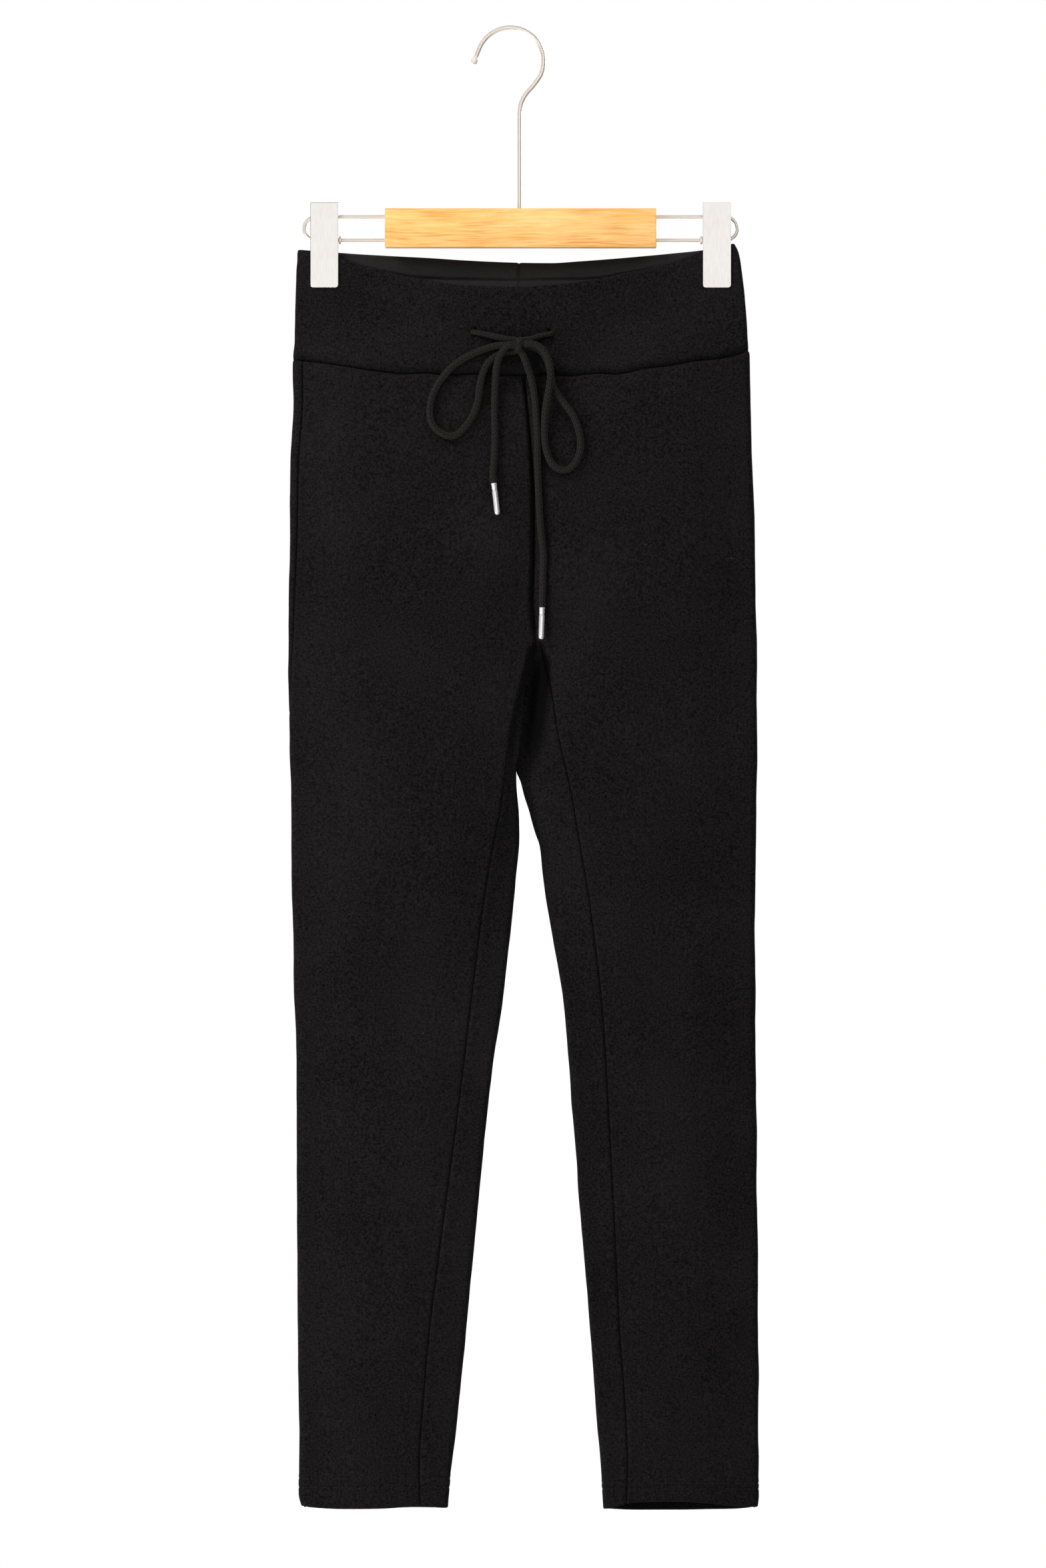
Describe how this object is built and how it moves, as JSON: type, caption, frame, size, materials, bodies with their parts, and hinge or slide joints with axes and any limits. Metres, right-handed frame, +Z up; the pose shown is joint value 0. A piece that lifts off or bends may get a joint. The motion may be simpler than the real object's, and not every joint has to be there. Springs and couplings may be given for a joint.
{
  "type": "leggings on clip hanger",
  "caption": "Black brushed-knit drawstring leggings, hung flat by the corners of the waistband from a wood and wire clip hanger.",
  "frame": {"origin": "inside top of the hook, where it hangs on a rod", "axes": "+Z up, the garment's front faces -Y, +X to the right of someone who looks at the front"},
  "size_m": [0.3511, 0.0364, 1.1119],
  "materials": {
    "black_knit": "matt brushed knit",
    "charcoal_braid": "round braided cord",
    "golden_wood": "satin, straight horizontal grain",
    "satin_nickel": "satin nickel plate",
    "polished_silver": "polished",
    "clear_rubber": "satin, pale"
  },
  "bodies": {
    "root": {"waistband": "black_knit", "leg_front_left": "black_knit", "leg_back_left": "black_knit", "leg_front_right": "black_knit", "leg_back_right": "black_knit", "drawstring_end_left": "charcoal_braid", "drawstring_loop_left": "charcoal_braid", "drawstring_tail_left": "charcoal_braid", "drawstring_end_right": "charcoal_braid", "drawstring_loop_right": "charcoal_braid", "drawstring_tail_right": "charcoal_braid", "drawstring_knot": "charcoal_braid", "aglet_left": "polished_silver", "aglet_right": "polished_silver", "hanger_block": "golden_wood", "hook": "satin_nickel", "hook_tip": "clear_rubber", "rail_frame": "satin_nickel", "clip_front_left": "satin_nickel", "clip_back_left": "satin_nickel", "clip_front_right": "satin_nickel", "clip_back_right": "satin_nickel", "collar_left": "satin_nickel", "collar_right": "satin_nickel"}
  },
  "joints": []
}
